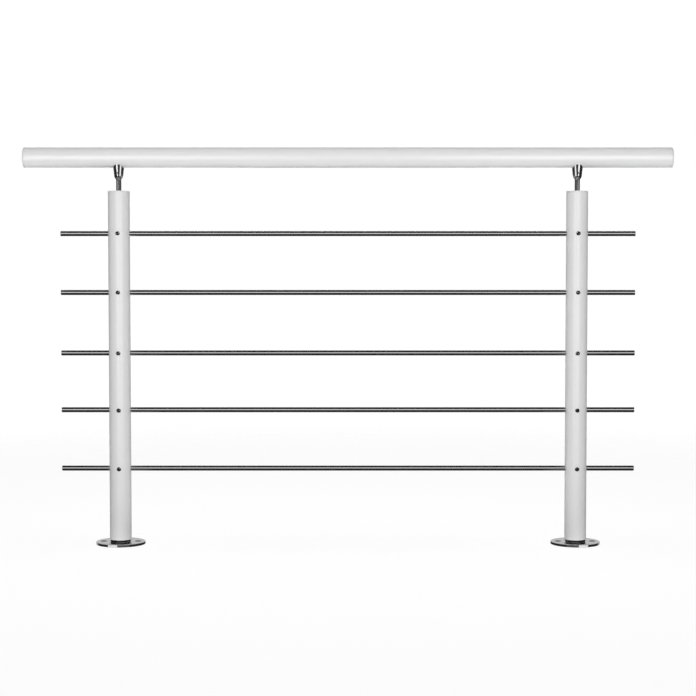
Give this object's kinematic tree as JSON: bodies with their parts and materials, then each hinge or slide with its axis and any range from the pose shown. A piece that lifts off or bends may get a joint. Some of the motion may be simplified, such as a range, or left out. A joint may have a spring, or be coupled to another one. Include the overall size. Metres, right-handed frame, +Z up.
{
  "type": "aluminium railing",
  "caption": "Free-standing white railing: round posts on bolt-down flanges, a round handrail on slim brackets, and slim steel cross rods between.",
  "frame": {"origin": "centre of the left post flange's underside, at floor level", "axes": "+X along the railing from the left post to the right post, +Z up, -Y is the side with the rod screws"},
  "size_m": [1.5, 0.114, 0.9205],
  "materials": {
    "white_powder_coat": "satin",
    "white_plastic": "satin",
    "polished_steel": "polished",
    "ground_steel": "satin",
    "screw_steel": "satin",
    "plain_aluminium": "satin",
    "grey_plastic": "matte"
  },
  "bodies": {
    "root": {"handrail_tube": "white_powder_coat", "handrail_end_cap_left": "white_plastic", "handrail_bracket_left": "polished_steel", "bracket_set_screw_left": "screw_steel", "post_left": "white_powder_coat", "post_cap_left": "white_powder_coat", "post_foot_left": "plain_aluminium", "base_flange_left": "polished_steel", "collar_set_screw_left": "screw_steel", "rod_screw_left_1": "screw_steel", "rod_end_plug_left_1": "grey_plastic", "rod_screw_left_2": "screw_steel", "rod_end_plug_left_2": "grey_plastic", "rod_screw_left_3": "screw_steel", "rod_end_plug_left_3": "grey_plastic", "rod_screw_left_4": "screw_steel", "rod_end_plug_left_4": "grey_plastic", "rod_screw_left_5": "screw_steel", "rod_end_plug_left_5": "grey_plastic", "handrail_end_cap_right": "white_plastic", "handrail_bracket_right": "polished_steel", "bracket_set_screw_right": "screw_steel", "post_right": "white_powder_coat", "post_cap_right": "white_powder_coat", "post_foot_right": "plain_aluminium", "base_flange_right": "polished_steel", "collar_set_screw_right": "screw_steel", "rod_screw_right_1": "screw_steel", "rod_end_plug_right_1": "grey_plastic", "rod_screw_right_2": "screw_steel", "rod_end_plug_right_2": "grey_plastic", "rod_screw_right_3": "screw_steel", "rod_end_plug_right_3": "grey_plastic", "rod_screw_right_4": "screw_steel", "rod_end_plug_right_4": "grey_plastic", "rod_screw_right_5": "screw_steel", "rod_end_plug_right_5": "grey_plastic", "cross_rod_1": "ground_steel", "cross_rod_2": "ground_steel", "cross_rod_3": "ground_steel", "cross_rod_4": "ground_steel", "cross_rod_5": "ground_steel"}
  },
  "joints": []
}
